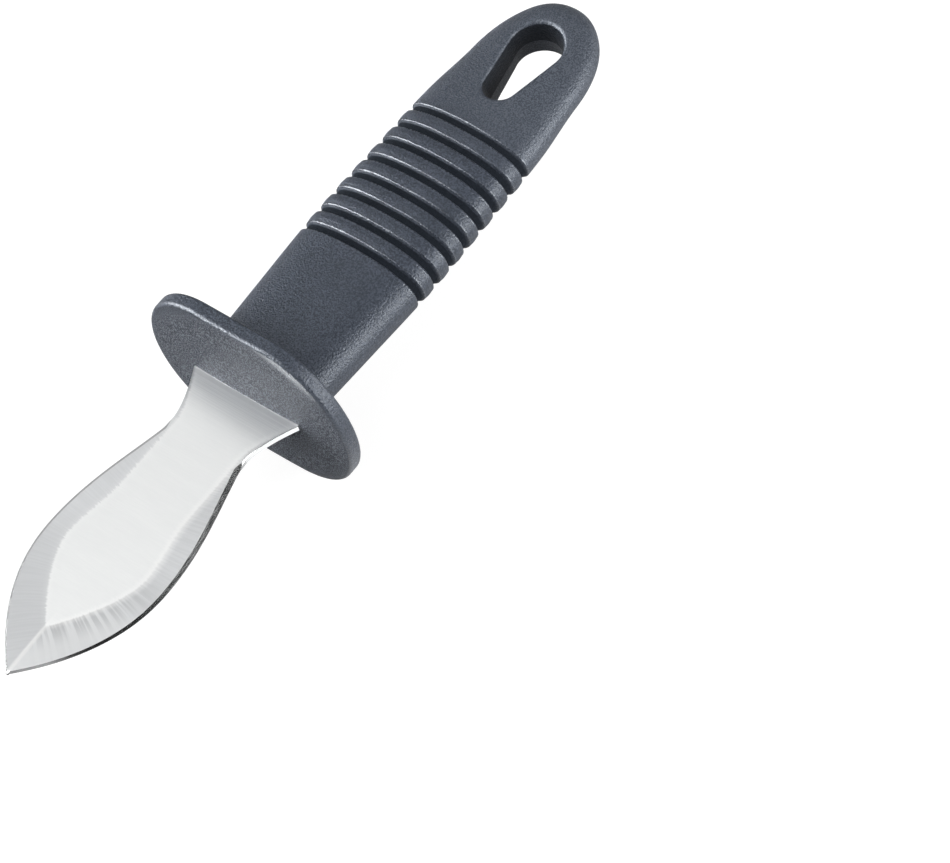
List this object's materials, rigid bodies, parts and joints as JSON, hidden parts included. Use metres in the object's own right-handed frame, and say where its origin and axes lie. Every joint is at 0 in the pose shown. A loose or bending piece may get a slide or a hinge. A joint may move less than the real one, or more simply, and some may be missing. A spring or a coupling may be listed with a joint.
{
  "type": "oyster knife",
  "caption": "Oyster knife: a stiff leaf-shaped steel blade moulded into a plastic handle with an oval hand guard, grip rings and a hanging hole.",
  "frame": {"origin": "bottom centre of the knife's box, straight below the middle of its length, at the height of the guard's lowest edge", "axes": "+X from the butt to the tip, +Z out of the blade's upper flat, so that the blade lies level; the knife is alike about its middle planes"},
  "size_m": [0.177, 0.0484, 0.0414],
  "materials": {
    "blade_steel": "satin, brushed across the blade",
    "handle_plastic": "fine spark-eroded grain, semi-matt"
  },
  "bodies": {
    "root": {"blade": "blade_steel", "handle": "handle_plastic"}
  },
  "joints": []
}
